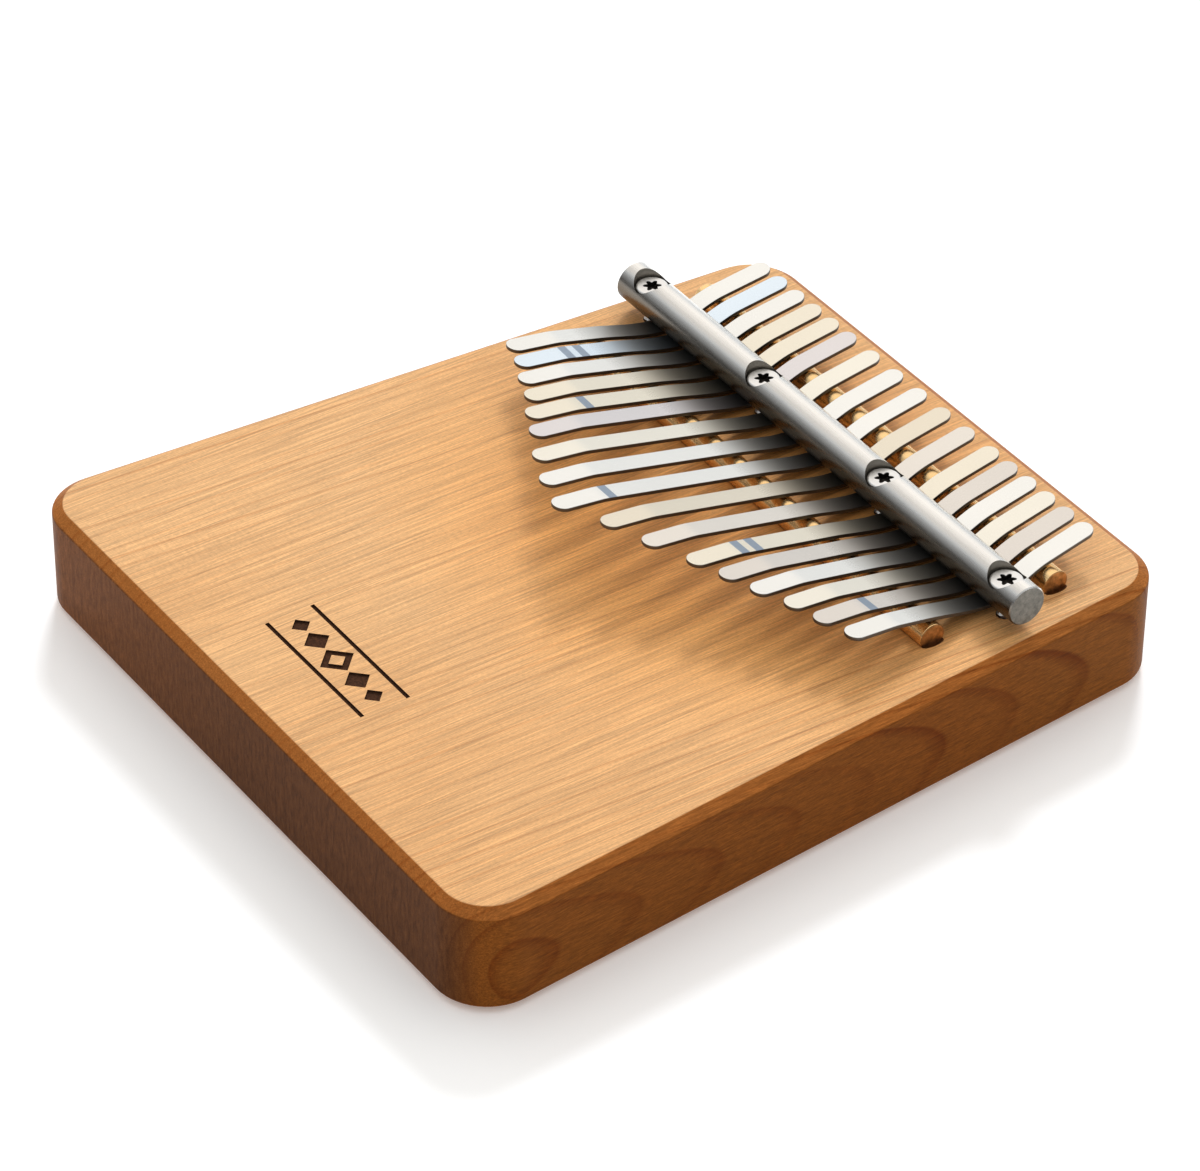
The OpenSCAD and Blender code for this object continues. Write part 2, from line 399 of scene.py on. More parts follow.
class Graph:
    """A material's node tree, with short calls to add and join nodes."""

    def __init__(self, name):
        self.material = bpy.data.materials.new(name)
        self.material.use_nodes = True
        self.tree = self.material.node_tree
        self.shader = self.tree.nodes["Principled BSDF"]

    def add(self, kind, inputs=None, **settings):
        made = self.tree.nodes.new(kind)
        for key, value in settings.items():
            setattr(made, key, value)
        for key, value in (inputs or {}).items():
            self.put(made.inputs[key], value)
        return made

    def put(self, socket, value):
        if isinstance(value, bpy.types.NodeSocket):
            self.tree.links.new(value, socket)
        else:
            socket.default_value = value

    def paint(self, name, value):
        """Sets or links an input of the surface shader."""
        self.put(self.shader.inputs[name], value)

    def math(self, operation, *values):
        made = self.add("ShaderNodeMath", operation=operation)
        for socket, value in zip(made.inputs, values):
            self.put(socket, value)
        return made.outputs[0]

    def length(self, first, second):
        """Length of the vector that has these two parts."""
        squares = [self.math("MULTIPLY", part, part) for part in (first, second)]
        return self.math("SQRT", self.math("ADD", *squares))

    def split(self, vector):
        """The three parts of a vector."""
        return self.add("ShaderNodeSeparateXYZ", {"Vector": vector}).outputs

    def normal(self):
        """The three parts of the surface normal."""
        return self.split(self.add("ShaderNodeTexCoord").outputs["Normal"])

    def position(self, scale=(1, 1, 1)):
        """Object position in millimetres, each axis multiplied by scale."""
        coordinates = self.add("ShaderNodeTexCoord")
        scaled = self.add("ShaderNodeVectorMath", operation="MULTIPLY")
        self.put(scaled.inputs[0], coordinates.outputs["Object"])
        self.put(scaled.inputs[1], tuple(s / MM for s in scale))
        return scaled.outputs[0]

    def noise(self, stretch, detail=2.0, roughness=0.5):
        """Noise with this many features per millimetre along X, Y and Z."""
        made = self.add("ShaderNodeTexNoise", {
            "Vector": self.position(stretch), "Scale": 1.0,
            "Detail": detail, "Roughness": roughness,
        })
        return made.outputs["Fac"]

    def spread(self, value, low, high, to_low=0.0, to_high=1.0):
        """Maps low..high to to_low..to_high, clamped."""
        made = self.add("ShaderNodeMapRange", {
            "Value": value, "From Min": low, "From Max": high,
            "To Min": to_low, "To Max": to_high,
        })
        return made.outputs[0]

    def swing(self, noise, to_low=0.0, to_high=1.0):
        """Maps the usual range of a noise to to_low..to_high."""
        return self.spread(noise, NOISE_LOW, NOISE_HIGH, to_low, to_high)

    def mix(self, factor, first, second, blend="MIX"):
        made = self.add("ShaderNodeMix", data_type="RGBA", blend_type=blend)
        self.put(made.inputs["Factor"], factor)
        self.put(made.inputs["A"], first)
        self.put(made.inputs["B"], second)
        return made.outputs["Result"]

    def times(self, first, second):
        """Product of two colours."""
        return self.mix(1.0, first, second, "MULTIPLY")

    def grey(self, shade):
        """Grey of the given brightness, to multiply a colour by."""
        made = self.add("ShaderNodeCombineXYZ", {"X": shade, "Y": shade, "Z": shade})
        return made.outputs[0]

    def bump(self, height, distance, strength):
        made = self.add("ShaderNodeBump", {
            "Height": height, "Distance": distance, "Strength": strength,
        })
        self.paint("Normal", made.outputs[0])


def rgb(red, green, blue):
    return (red, green, blue, 1.0)


# ---------------------------------------------------------------- materials


def growth_rings(g, x, y, z):
    """Share of late wood, in straight rings about a pith beside the board."""
    leaning_x = g.math("SUBTRACT", x, g.math("MULTIPLY", y, GRAIN_LEAN))
    wander = g.spread(g.noise(WANDER_NOISE), 0.0, 1.0, -RING_WANDER, RING_WANDER)
    across = g.math("ADD", g.math("SUBTRACT", leaning_x, PITH_X), wander)
    above = g.math("SUBTRACT", z, PITH_Z)
    phase = g.math("DIVIDE", g.length(across, above), RING_SPACING)
    pace = g.noise(PACE_NOISE, detail=0.0)
    phase = g.math("ADD", phase, g.spread(pace, 0.0, 1.0, 0.0, RING_SWING))
    share = g.math("FRACT", phase)
    ring = g.math("FLOOR", phase)
    own = g.add("ShaderNodeTexWhiteNoise", {"W": ring}, noise_dimensions="1D").outputs["Value"]
    rising = g.spread(share, LATE_START, LATE_PEAK)
    late = g.math("MULTIPLY", rising, g.spread(share, LATE_PEAK, 1.0, 1.0, 0.0))
    bold = g.spread(g.noise(BOLD_NOISE, detail=1.0), 0.35, 0.65, 0.35, 1.2)
    return g.math("MULTIPLY", late, g.math("MULTIPLY", g.spread(own, 0.0, 1.0, 0.2, 1.2), bold))


def grain_tone(g, x, fibres, fine):
    """Brightness of the fine grain: fibres, specks, and flecks that fade towards the right."""
    specks = g.noise(SPECK_NOISE, roughness=0.6)
    rays = g.noise(RAY_NOISE, roughness=0.6)
    streak = g.math("MULTIPLY", g.swing(fibres, *FIBRE_TONES), g.swing(fine, *FINE_TONES))
    streak = g.math("MULTIPLY", streak, g.swing(specks, *SPECK_TONES))
    patch = g.spread(g.noise(PATCH_NOISE, detail=1.0), 0.40, 0.60, 0.3, 1.0)
    patch = g.math("MULTIPLY", patch, g.spread(x, -70.0, 30.0, 1.2, 0.15))
    fleck = g.math("SUBTRACT", g.spread(rays, 0.36, 0.66, *RAY_TONES), 1.0)
    return g.math("MULTIPLY", streak, g.math("MULTIPLY_ADD", fleck, patch, 1.0))


def painted_shade_patch(g, plain, x, y):
    """The plain wood, warmer and more saturated in a soft ellipse about the tines: painted shade."""
    off_x = g.math("DIVIDE", x, SHADE_PATCH_REACH_X)
    off_y = g.math("DIVIDE", g.math("SUBTRACT", y, SHADE_PATCH_CENTRE_Y), SHADE_PATCH_REACH_Y)
    patch_share = g.spread(g.length(off_x, off_y), SHADE_PATCH_FULL, SHADE_PATCH_NONE, 1.0, 0.0)
    return g.mix(patch_share, plain, g.times(plain, SHADE_PATCH_TONE))


def end_grain(g, x, late):
    """Colour of the two end faces, paler towards the left."""
    pores = g.noise(PORE_NOISE, detail=4.0, roughness=0.7)
    end = g.mix(g.swing(pores), END_DARK, END_LIGHT)
    end = g.mix(g.math("MULTIPLY", late, 0.5), end, END_DARK)
    paler = g.spread(x, -WIDTH_NEAR / MM / 2, 0.0, END_PALER, 1.0)
    return g.times(end, g.grey(paler))


def wood_material():
    """Cherry board: growth rings, fine fibres and rays, painted shade on the bevels and sides, and
    darker ends.
    """
    g = Graph("cherry board")
    x, y, z = g.split(g.position())
    late = growth_rings(g, x, y, z)
    fibres = g.noise(FIBRE_NOISE, detail=3.0, roughness=0.6)
    fine = g.noise(FINE_NOISE, roughness=0.6)
    clouds = g.noise(CLOUD_NOISE)
    normal = g.normal()
    lying = g.math("ABSOLUTE", normal["Z"])
    on_side = g.spread(lying, SIDE_LOW, SIDE_HIGH, 1.0, 0.0)
    # 1 on bevels and sides, 0 on the flat top and underside
    off_flat = g.spread(lying, FLAT_LOW, FLAT_HIGH, 1.0, 0.0)
    to_end = g.spread(g.math("ABSOLUTE", normal["Y"]), END_LOW, END_HIGH)

    plain = g.mix(g.spread(clouds, 0.35, 0.65), WOOD_PALE, WOOD_WARM)
    # Painted shade about the tines
    plain = painted_shade_patch(g, plain, x, y)
    depth = g.math("MULTIPLY", late, g.spread(on_side, 0.0, 1.0, 0.60, 0.85))
    colour = g.mix(depth, plain, WOOD_LATE)
    # Painted shade on the bevels and sides
    colour = g.mix(off_flat, colour, g.times(colour, BEVEL_PAINTED_SHADE))
    colour = g.mix(on_side, colour, g.times(colour, SIDE_PAINTED_SHADE))
    colour = g.mix(to_end, colour, end_grain(g, x, late))
    colour = g.times(colour, g.grey(grain_tone(g, x, fibres, fine)))

    g.paint("Base Color", colour)
    g.paint("Roughness", g.swing(fibres, 0.36, 0.46))
    g.paint("Specular IOR Level", g.spread(off_flat, 0.0, 1.0, 0.80, 0.05))
    grooves = g.math("ADD", fibres, g.math("MULTIPLY", fine, 0.5))
    g.bump(grooves, 0.06 * MM, 0.35)
    return g.material


def burnt_material():
    """Scorched bottom and walls of the ornament."""
    g = Graph("burnt wood")
    char = g.noise(CHAR_NOISE, detail=4.0, roughness=0.7)
    g.paint("Base Color", g.mix(g.swing(char), BURNT_DARK, BURNT_LIGHT))
    g.paint("Roughness", g.swing(char, 0.75, 0.9))
    g.paint("Specular IOR Level", 0.15)
    g.bump(char, 0.1 * MM, 0.6)
    return g.material


def groove_shade_material():
    """Painted shade: darker wood inside the grooves and screw holes."""
    g = Graph("groove wood")
    fibres = g.noise(CUT_NOISE, detail=4.0, roughness=0.6)
    g.paint("Base Color", g.mix(g.swing(fibres), GROOVE_SHADE_DARK, GROOVE_SHADE_LIGHT))
    g.paint("Roughness", g.swing(fibres, 0.6, 0.75))
    g.bump(fibres, 0.08 * MM, 0.4)
    return g.material


def metal(name, colour, roughness, brush, brush_depth, contrast=0.05):
    """Metal with fine scratches. The brush vector stretches the noise along the scratches."""
    g = Graph(name)
    scratches = g.noise(brush, detail=3.0, roughness=0.6)
    stains = g.noise(STAIN_NOISE, detail=1.0)
    tones = [g.swing(pattern, 1 - contrast, 1.0) for pattern in (scratches, stains)]
    shade = g.math("MULTIPLY", *tones)
    g.paint("Base Color", g.times(rgb(*colour), g.grey(shade)))
    g.paint("Metallic", 1.0)
    g.paint("Roughness", g.swing(scratches, *roughness))
    g.bump(scratches, brush_depth, 0.5)
    return g


def tine_material(tint):
    """Spring steel with long fine scratches, in one of the tints, with painted shade near the pressure
    bar.
    """
    brush = (5.0, 0.25, 5.0)
    g = metal(f"spring steel {tint}", TINTS[tint], (0.20, 0.28), brush, 0.004 * MM, 0.025)
    paint_shade_at_bar(g)
    return g.material


def paint_shade_at_bar(g):
    """Paints shade and the bar's dark reflection into the steel near the pressure bar, and makes it
    duller.
    """
    y = g.split(g.position())["Y"]
    front = g.spread(y, FRONT_Y / MM - SHADE_FRONT, BAR_Y / MM - SHADE_FRONT, 1.0, 0.0)
    behind = g.spread(y, BAR_Y / MM, BAR_Y / MM + SHADE_REAR, 0.0, 1.0)
    unshaded = g.math("MAXIMUM", g.math("SMOOTH_MAX", front, SHADE_TONE, SHADE_BLUR), behind)
    colour, dull = g.shader.inputs["Base Color"], g.shader.inputs["Roughness"]
    g.put(colour, g.times(colour.links[0].from_socket, g.grey(unshaded)))
    hazy = g.spread(unshaded, SHADE_TONE, 1.0, SHADE_HAZE, 0.0)
    g.put(dull, g.math("ADD", dull.links[0].from_socket, hazy))


def edge_material():
    """Dark, rough edges of the tines."""
    g = metal("edge steel", (0.20, 0.18, 0.16), (0.40, 0.55), (2.0, 2.0, 2.0), 0.01 * MM, 0.2)
    return g.material


def mark_material():
    """Blue-grey note marks, with the sheen of the steel."""
    g = metal("note mark", (0.42, 0.50, 0.60), (0.35, 0.45), (1.5, 1.5, 1.5), 0.01 * MM, 0.12)
    return g.material


# ---------------------------------------------------------------- board


def board_outline(inset, length):
    """Corner-rounded trapezoid of the board, moved inwards by inset."""
    lean = math.atan((WIDTH_NEAR - WIDTH_FAR) / 2 / length)
    radius = CORNER_RADIUS
    near_x = WIDTH_NEAR / 2 - radius * (1 / math.cos(lean) + math.tan(lean))
    far_x = WIDTH_FAR / 2 - radius * (1 / math.cos(lean) - math.tan(lean))
    corners = (
        (near_x, radius - length / 2, -math.pi / 2, lean),
        (far_x, length / 2 - radius, lean, math.pi / 2),
        (-far_x, length / 2 - radius, math.pi / 2, math.pi - lean),
        (-near_x, radius - length / 2, math.pi - lean, 3 * math.pi / 2),
    )
    points = []
    for x, y, start, end in corners:
        for i in range(CORNER_STEPS + 1):
            angle = start + (end - start) * i / CORNER_STEPS
            reach = radius - inset
            points.append((x + reach * math.cos(angle), y + reach * math.sin(angle)))
    return points


def cylinder_cutter(name, radius, low, high, centre, facets=HOLE_FACETS):
    profile = [(radius, low), (radius, high)]
    return lathe(name, profile, "Z", facets, centre)


def groove_cutter(name, rod_low, rod_high):
    """Round-ended cylinder that a bridge rod lies in."""
    radius = (rod_high.z - rod_low.z) / 2 + GROOVE_CLEARANCE
    centre = (rod_low + rod_high) / 2
    half = (rod_high.x - rod_low.x) / 2 + GROOVE_END_ROOM
    profile = []
    for i in range(1, GROOVE_END_STEPS + 1):
        angle = math.pi / 2 * i / GROOVE_END_STEPS
        bulge = GROOVE_END_SHARE * radius * math.cos(angle)
        profile.append((radius * math.sin(angle), -half - bulge))
    profile += [(r, -h) for r, h in reversed(profile)]
    return lathe(name, profile, "X", GROOVE_FACETS, centre)


def prism(name, outline, low, high):
    bm = bmesh.new()
    loft(bm, [[Vector((x, y, z)) for x, y in outline] for z in (low, high)])
    return object_from_bmesh(name, bm)


def diamond(x, half):
    y = ORNAMENT_Y
    return [(x - half, y), (x, y - half), (x + half, y), (x, y + half)]


def ornament_cutters(top):
    """Cutters of the burnt band: two lines and a row of diamonds."""
    low, high = top - ORNAMENT_DEPTH, top + CUT_MARGIN
    cutters = []
    for side in (-1, 1):
        y = ORNAMENT_Y + side * LINE_Y
        line = [
            (-BAND_HALF, y - LINE_WIDTH / 2), (BAND_HALF, y - LINE_WIDTH / 2),
            (BAND_HALF, y + LINE_WIDTH / 2), (-BAND_HALF, y + LINE_WIDTH / 2),
        ]
        cutters.append(prism("line cutter", line, low, high))
        for x, half in DIAMONDS:
            cutters.append(prism("diamond cutter", diamond(side * x, half), low, high))
    middle = prism("middle cutter", diamond(0, MIDDLE_DIAMOND), low, high)
    core = prism("core", diamond(0, MIDDLE_OPENING), low - CUT_MARGIN, high + CUT_MARGIN)
    apply_boolean(middle, [core])
    cutters.append(middle)
    return cutters


def build_board():
    """Tapered bevelled board with its grooves, pilot holes and burnt ornament."""
    low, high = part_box("board")
    length, top = high.y - low.y, high.z - low.z
    inner = BEVEL_WIDTH + FLAT_RING
    profile = rounded_polyline(
        [
            (inner, 0, 0), (BEVEL_WIDTH, 0, 0), (0, BEVEL_DEPTH, 0),
            (0, top - BEVEL_DEPTH, 0), (BEVEL_WIDTH, top, 0), (inner, top, 0),
        ],
        EDGE_ROUNDING,
        EDGE_STEPS,
    )
    bm = bmesh.new()
    loft(bm, [
        [Vector((x, y, z)) for x, y in board_outline(inset, length)] for inset, z, _ in profile
    ])
    board = object_from_bmesh("board_body", bm)
    board.data.materials.append(wood_material())
    pilot_low = screws_low.z - top - CUT_MARGIN
    grooves = [groove_cutter(f"{rod} groove", *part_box(rod)) for rod in BRIDGES]
    for x in SCREW_PLACES:
        centre = (x, BAR_Y, top)
        grooves.append(
            cylinder_cutter("pilot", PILOT_RADIUS, pilot_low, 2 * CUT_MARGIN, centre)
        )
    cut_with(board, grooves, groove_shade_material())
    cut_with(board, ornament_cutters(top), burnt_material())
    finish_shading(board)
    return board


# ---------------------------------------------------------------- bridges, bar and screws


def paint_ends(piece, reach):
    """Gives the second material to the end faces of a bar along X."""
    for polygon in piece.data.polygons:
        if abs(polygon.center.x) > reach:
            polygon.material_index = 1


def build_rod(name, node, material, sawn):
    low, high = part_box(node)
    centre = (low + high) / 2
    radius, half = (high.z - low.z) / 2, (high.x - low.x) / 2
    corners = [(AXIS_POINT, -half, 0), (radius, -half, 0), (radius, half, 0), (AXIS_POINT, half, 0)]
    profile = [(r, h) for r, h, _ in rounded_polyline(corners, ROD_EDGE, ROD_EDGE_STEPS)]
    rod = lathe(name, profile, "X", ROD_FACETS, centre)
    rod.data.materials.append(material)
    rod.data.materials.append(sawn)
    paint_ends(rod, half - ROD_EDGE / 2)
    finish_shading(rod)
    return rod


def build_bar():
    """Round bar with chamfered ends and four counterbored screw holes."""
    centre = (bar_low + bar_high) / 2
    radius, half = (bar_high.z - bar_low.z) / 2, (bar_high.x - bar_low.x) / 2
    edge = BAR_EDGE
    profile = [
        (AXIS_POINT, -half), (radius - edge, -half), (radius, -half + edge),
        (radius, half - edge), (radius - edge, half), (AXIS_POINT, half),
    ]
    bar = lathe("bar_rod", profile, "X", BAR_FACETS, centre)
    bar.data.materials.append(bar_material())
    bar.data.materials.append(sawn_material("sawn steel", (0.36, 0.34, 0.30)))
    paint_ends(bar, half - edge / 4)
    cutters = []
    for x in SCREW_PLACES:
        place = (x, centre.y, centre.z)
        seat = cylinder_cutter("seat", COUNTERBORE_RADIUS, 0, 2 * radius, place, SEAT_FACETS)
        hole = cylinder_cutter("hole", BAR_HOLE_RADIUS, -2 * radius, radius, place)
        cutters += [seat, hole]
    cut_with(bar, cutters, bore_shade_material())
    finish_shading(bar)
    return bar


def bar_material():
    """Satin bar, with painted shade in bands on the side that faces the player, and a painted brown
    reflection of the wood below.
    """
    g = metal("bar steel", (0.93, 0.925, 0.90), (0.24, 0.34), (0.25, 4.0, 4.0), 0.008 * MM)
    normal = g.normal()
    turn = g.math("ARCTAN2", g.math("MULTIPLY", normal["Y"], -1.0), normal["Z"])
    first, second, third = [g.spread(turn, start, end, 1.0, tone) for start, end, tone in BAR_SHADES]
    shade = g.math("MULTIPLY", g.math("MULTIPLY", first, second), third)
    colour = g.shader.inputs["Base Color"]
    banded = g.times(colour.links[0].from_socket, g.grey(shade))
    reflected = g.times(banded, BAR_WOOD_REFLECTION)
    g.put(colour, g.mix(g.spread(turn, REFLECTION_START, REFLECTION_FULL), banded, reflected))
    return g.material


def sawn_material(name, colour):
    """Dull, coarsely speckled end face."""
    g = metal(name, colour, (0.40, 0.6), (0.8, 1.0, 1.0), 0.05 * MM, 0.55)
    return g.material


def brass_material():
    g = metal("brass", (1.0, 0.71, 0.37), (0.20, 0.30), (0.3, 4.0, 4.0), 0.01 * MM)
    return g.material


def screw_material():
    g = metal("zinc", (0.92, 0.92, 0.91), (0.34, 0.46), (1.5, 1.5, 1.5), 0.008 * MM)
    return g.material


def recess_shade_material():
    """Painted shade: dark metal inside the driver recess."""
    g = metal("recess", (0.07, 0.062, 0.055), (0.45, 0.6), (2.0, 2.0, 2.0), 0.02 * MM, 0.2)
    return g.material


def bore_shade_material():
    """Duller steel inside the bar's screw holes, darkened with painted shade."""
    g = metal("bore steel", (0.45, 0.42, 0.37), (0.40, 0.55), (2.0, 2.0, 2.0), 0.02 * MM)
    return g.material


def recess_radius(angle, grow):
    """Outline of the six-lobe driver recess, moved outwards by grow."""
    return RECESS_MIDDLE + RECESS_WAVE * math.cos(RECESS_LOBES * angle) + grow


def thread_radius(height, tip):
    """Outline of the rolled thread at a height, tapering to a point at the tip."""
    taper = min(1.0, (height - tip) / POINT_LENGTH)

    def radius_at(angle):
        turn = (height / THREAD_PITCH - angle / (2 * math.pi)) % 1
        crest = max(0.0, 1 - abs(turn - 0.5) / CREST_SHARE)
        full = THREAD_ROOT + (SHANK_RADIUS - THREAD_ROOT) * crest
        return full * (POINT_SHARE + (1 - POINT_SHARE) * taper)

    return radius_at


def build_screw(name, x, material, recess_shade):
    """Pan-head screw with a six-lobe recess and a rolled thread, made ring by ring."""
    low, top = screws_low.z, screws_high.z
    seat = (bar_low.z + bar_high.z) / 2
    centre = Vector((x, BAR_Y, 0))
    angles = [2 * math.pi * i / SCREW_FACETS for i in range(SCREW_FACETS)]
    rings = []

    def add_ring(radius_at, height):
        rings.append([
            centre + Vector((radius_at(a) * math.cos(a), radius_at(a) * math.sin(a), height))
            for a in angles
        ])

    def add_circle(radius, height):
        add_ring(lambda angle: radius, height)

    thread_top = seat - PLAIN_SHANK
    steps = int((thread_top - low) / (THREAD_PITCH / THREAD_STEPS))
    for i in range(steps + 1):
        height = low + (thread_top - low) * i / steps
        add_ring(thread_radius(height, low), height)
    add_circle(SHANK_RADIUS, thread_top + 0.5 * MM)
    add_circle(SHANK_RADIUS, seat - SHANK_FILLET / 2)
    add_circle(SHANK_RADIUS + SHANK_FILLET, seat)
    add_circle(HEAD_RADIUS - HEAD_FOOT, seat)
    add_circle(HEAD_RADIUS, seat + HEAD_FOOT)
    for i in range(CROWN_STEPS + 1):
        angle = math.pi / 2 * i / CROWN_STEPS
        radius = HEAD_RADIUS - HEAD_CROWN * (1 - math.cos(angle))
        add_circle(radius, top - HEAD_CROWN * (1 - math.sin(angle)))
    floor = top - RECESS_DEPTH
    for grow, height in (
        (RECESS_FLARE, top), (RECESS_DRAFT, top - RECESS_LIP),
        (-RECESS_DRAFT, floor + RECESS_LIP), (-RECESS_FILLET, floor),
    ):
        add_ring(lambda angle, grow=grow: recess_radius(angle, grow), height)
    add_circle(RECESS_CENTRE, floor - RECESS_FILLET)
    bm = bmesh.new()
    loft(bm, rings)
    screw = object_from_bmesh(name, bm)
    screw.data.materials.append(material)
    screw.data.materials.append(recess_shade)
    # Faces inside the recess get the painted shade
    for polygon in screw.data.polygons:
        off_axis = (polygon.center - centre).to_2d().length
        inside = floor - RECESS_SHADE_BELOW < polygon.center.z < top - RECESS_SHADE_TOP
        if inside and off_axis < RECESS_SHADE_REACH:
            polygon.material_index = 1
    finish_shading(screw)
    return screw


# ---------------------------------------------------------------- tines


def tine_geometry(k):
    """Where tine k lies, worked out from its pluck joint: middle, fan angle, tip, free length."""
    joint = JOINTS[f"pluck_{number(k)}"]
    x, y, _ = joint["pos_m"]
    fan = math.atan2(joint["axis"][1], joint["axis"][0])
    along = (y - BAR_Y) / math.cos(fan)
    middle = x + math.sin(fan) * along
    free = (FRONT_Y - (BAR_Y + along)) / HINGE_SHARE
    return {"x": middle, "fan": fan, "tip": FRONT_Y - free, "free": free}


def sag(t, rise, end_slope, span):
    """Smooth rise over a span, level at its start and at end_slope at its end."""
    return rise * (3 * t * t - 2 * t**3) + end_slope * span * (t**3 - t * t)


def underside(y, tip):
    """Height of the underside of a tine, from its tip to its tail."""
    front_span, rear_span = BAR_Y - FRONT_Y, REAR_Y - BAR_Y
    steep, flat = math.tan(RISE), math.tan(TIP_RISE)
    if y <= FRONT_Y:
        start = FRONT_Y - (tip + TIP_LENGTH) - BEND_LENGTH / 2
        past = (FRONT_Y - y) - start
        bent = min(max(past, 0), BEND_LENGTH)
        after = max(past - BEND_LENGTH, 0)
        rise = steep * min(FRONT_Y - y, start) + steep * bent
        return FRONT_CONTACT + rise + (flat - steep) * bent**2 / (2 * BEND_LENGTH) + flat * after
    if y <= BAR_Y:
        rise = FRONT_CONTACT - DIP
        return DIP + sag((BAR_Y - y) / front_span, rise, math.tan(RISE), front_span)
    if y <= REAR_Y:
        rise = REAR_CONTACT - DIP
        return DIP + sag((y - BAR_Y) / rear_span, rise, math.tan(TAIL_RISE), rear_span)
    return REAR_CONTACT + math.tan(TAIL_RISE) * (y - REAR_Y)


def slope_at(y, tip):
    step = 0.05 * MM
    return (underside(y + step, tip) - underside(y - step, tip)) / (2 * step)


def stations(k, tip):
    """Places along the tine's straight stretch, between the middles of its round ends."""
    start, end = tip + TINE_WIDTH / 2, TAIL_END - TINE_WIDTH / 2
    wanted = {start, end, *mark_edges(k, tip)}
    y = start
    while y < end:
        wanted.add(y)
        y += STATION_SPACING
    for i in range(BEND_STEPS + 1):
        wanted.add(tip + TIP_LENGTH + BEND_LENGTH * (i / BEND_STEPS - 0.5))
    ordered = sorted(wanted)
    kept = [ordered[0]]
    for y in ordered[1:]:
        if y - kept[-1] > STATION_GAP:
            kept.append(y)
    return kept


def mark_edges(k, tip):
    """Near and far edge of each note mark on tine k."""
    edges = []
    for distance in NOTE_MARKS.get(k, ()):
        near = tip + TIP_LENGTH + distance * MM
        edges += [near, near + MARK_WIDTH]
    return edges


def round_end(y, first):
    """Outline around a round end, as places and directions, over half a turn from first."""
    angles = [first + math.pi / 2 * i / END_STEPS for i in range(1, 2 * END_STEPS)]
    return [(y, (math.cos(angle), math.sin(angle))) for angle in angles]


def build_tine(k):
    """One strip of spring steel, bent over the bridges and under the bar, with round ends."""
    place = tine_geometry(k)
    tip = place["tip"]
    middle = stations(k, tip)
    spine = [(y, (1.0, 0.0)) for y in middle] + round_end(middle[-1], 0.0)
    spine += [(y, (-1.0, 0.0)) for y in reversed(middle)] + round_end(middle[0], math.pi)
    tail_point = len(middle) + END_STEPS - 1

    edge = []
    for i in range(TINE_EDGE_STEPS + 1):
        angle = math.pi / 2 * i / TINE_EDGE_STEPS
        edge.append((TINE_EDGE * (1 - math.sin(angle)), TINE_EDGE * (1 - math.cos(angle))))
    # Rings from the underside up: inset from the outline, distance from the face, which face
    profile = [(inset, away, False) for inset, away in edge]
    profile += [(inset, away, True) for inset, away in reversed(edge)]

    to_place = (
        Matrix.Translation((place["x"], BAR_Y, 0))
        @ Matrix.Rotation(place["fan"], 4, "Z")
        @ Matrix.Translation((0, -BAR_Y, 0))
    )

    def point(y, direction, inset, away, upper):
        reach = TINE_WIDTH / 2 - inset
        along = y + reach * direction[1]
        height = underside(along, tip) + away
        if upper:
            thick = TINE_THICKNESS * math.sqrt(1 + slope_at(along, tip) ** 2)
            height = underside(along, tip) + thick - away
        return to_place @ Vector((reach * direction[0], along, height))

    bm = bmesh.new()
    rings = join_rings(bm, [[point(*where, *step) for where in spine] for step in profile])
    cross_faces(bm, rings[0], tail_point, flip=True)
    cross_faces(bm, rings[-1], tail_point)
    tine = object_from_bmesh(f"tine_strip_{number(k)}", bm)
    for material in (STEEL[TINE_TINTS[k - 1]], EDGE_STEEL, INK):
        tine.data.materials.append(material)
    for polygon in tine.data.polygons:
        if abs(polygon.normal.z) < EDGE_NORMAL:
            polygon.material_index = 1
    paint_marks(tine, k, tip, to_place)
    finish_shading(tine, TINE_SHARP_ANGLE)
    return tine, place, to_place


def cross_faces(bm, ring, tail_point, flip=False):
    """Covers a flat side of the strip with faces that run straight across it."""
    count = len(ring)
    tip_point = (tail_point + count // 2) % count
    left, right = tail_point, tail_point
    while True:
        next_left, next_right = (left + 1) % count, (right - 1) % count
        corners = [ring[right], ring[left], ring[next_left], ring[next_right]]
        unique = list(dict.fromkeys(corners))
        if flip:
            unique.reverse()
        bm.faces.new(unique)
        if next_left == tip_point or next_right == tip_point:
            break
        left, right = next_left, next_right


def paint_marks(tine, k, tip, to_place):
    """Gives the ink to the faces of the upper side that lie inside a note mark."""
    edges = mark_edges(k, tip)
    back = to_place.inverted()
    for polygon in tine.data.polygons:
        local = back @ polygon.center
        if local.z < underside(local.y, tip) + TINE_THICKNESS / 2:
            continue
        for start, end in zip(edges[::2], edges[1::2]):
            if start < local.y < end and polygon.material_index == 0:
                polygon.material_index = 2


def bend_tine(tine, k):
    """Bakes the strip's placement into its mesh and hides the CAD tine and tongue."""
    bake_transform(tine)
    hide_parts(f"tine_{number(k)}", f"tongue_{number(k)}")


# ---------------------------------------------------------------- stage


def build_floor():
    """Plain pale floor that glows faintly, which keeps the shadow light."""
    bm = bmesh.new()
    bmesh.ops.create_grid(bm, x_segments=1, y_segments=1, size=FLOOR_REACH)
    floor = object_from_bmesh("floor", bm)
    g = Graph("floor")
    g.paint("Base Color", rgb(*FLOOR_COLOUR))
    g.paint("Roughness", 0.9)
    g.paint("Specular IOR Level", 0.0)
    g.paint("Emission Color", rgb(1.0, 1.0, 1.0))
    g.paint("Emission Strength", FLOOR_GLOW)
    floor.data.materials.append(g.material)


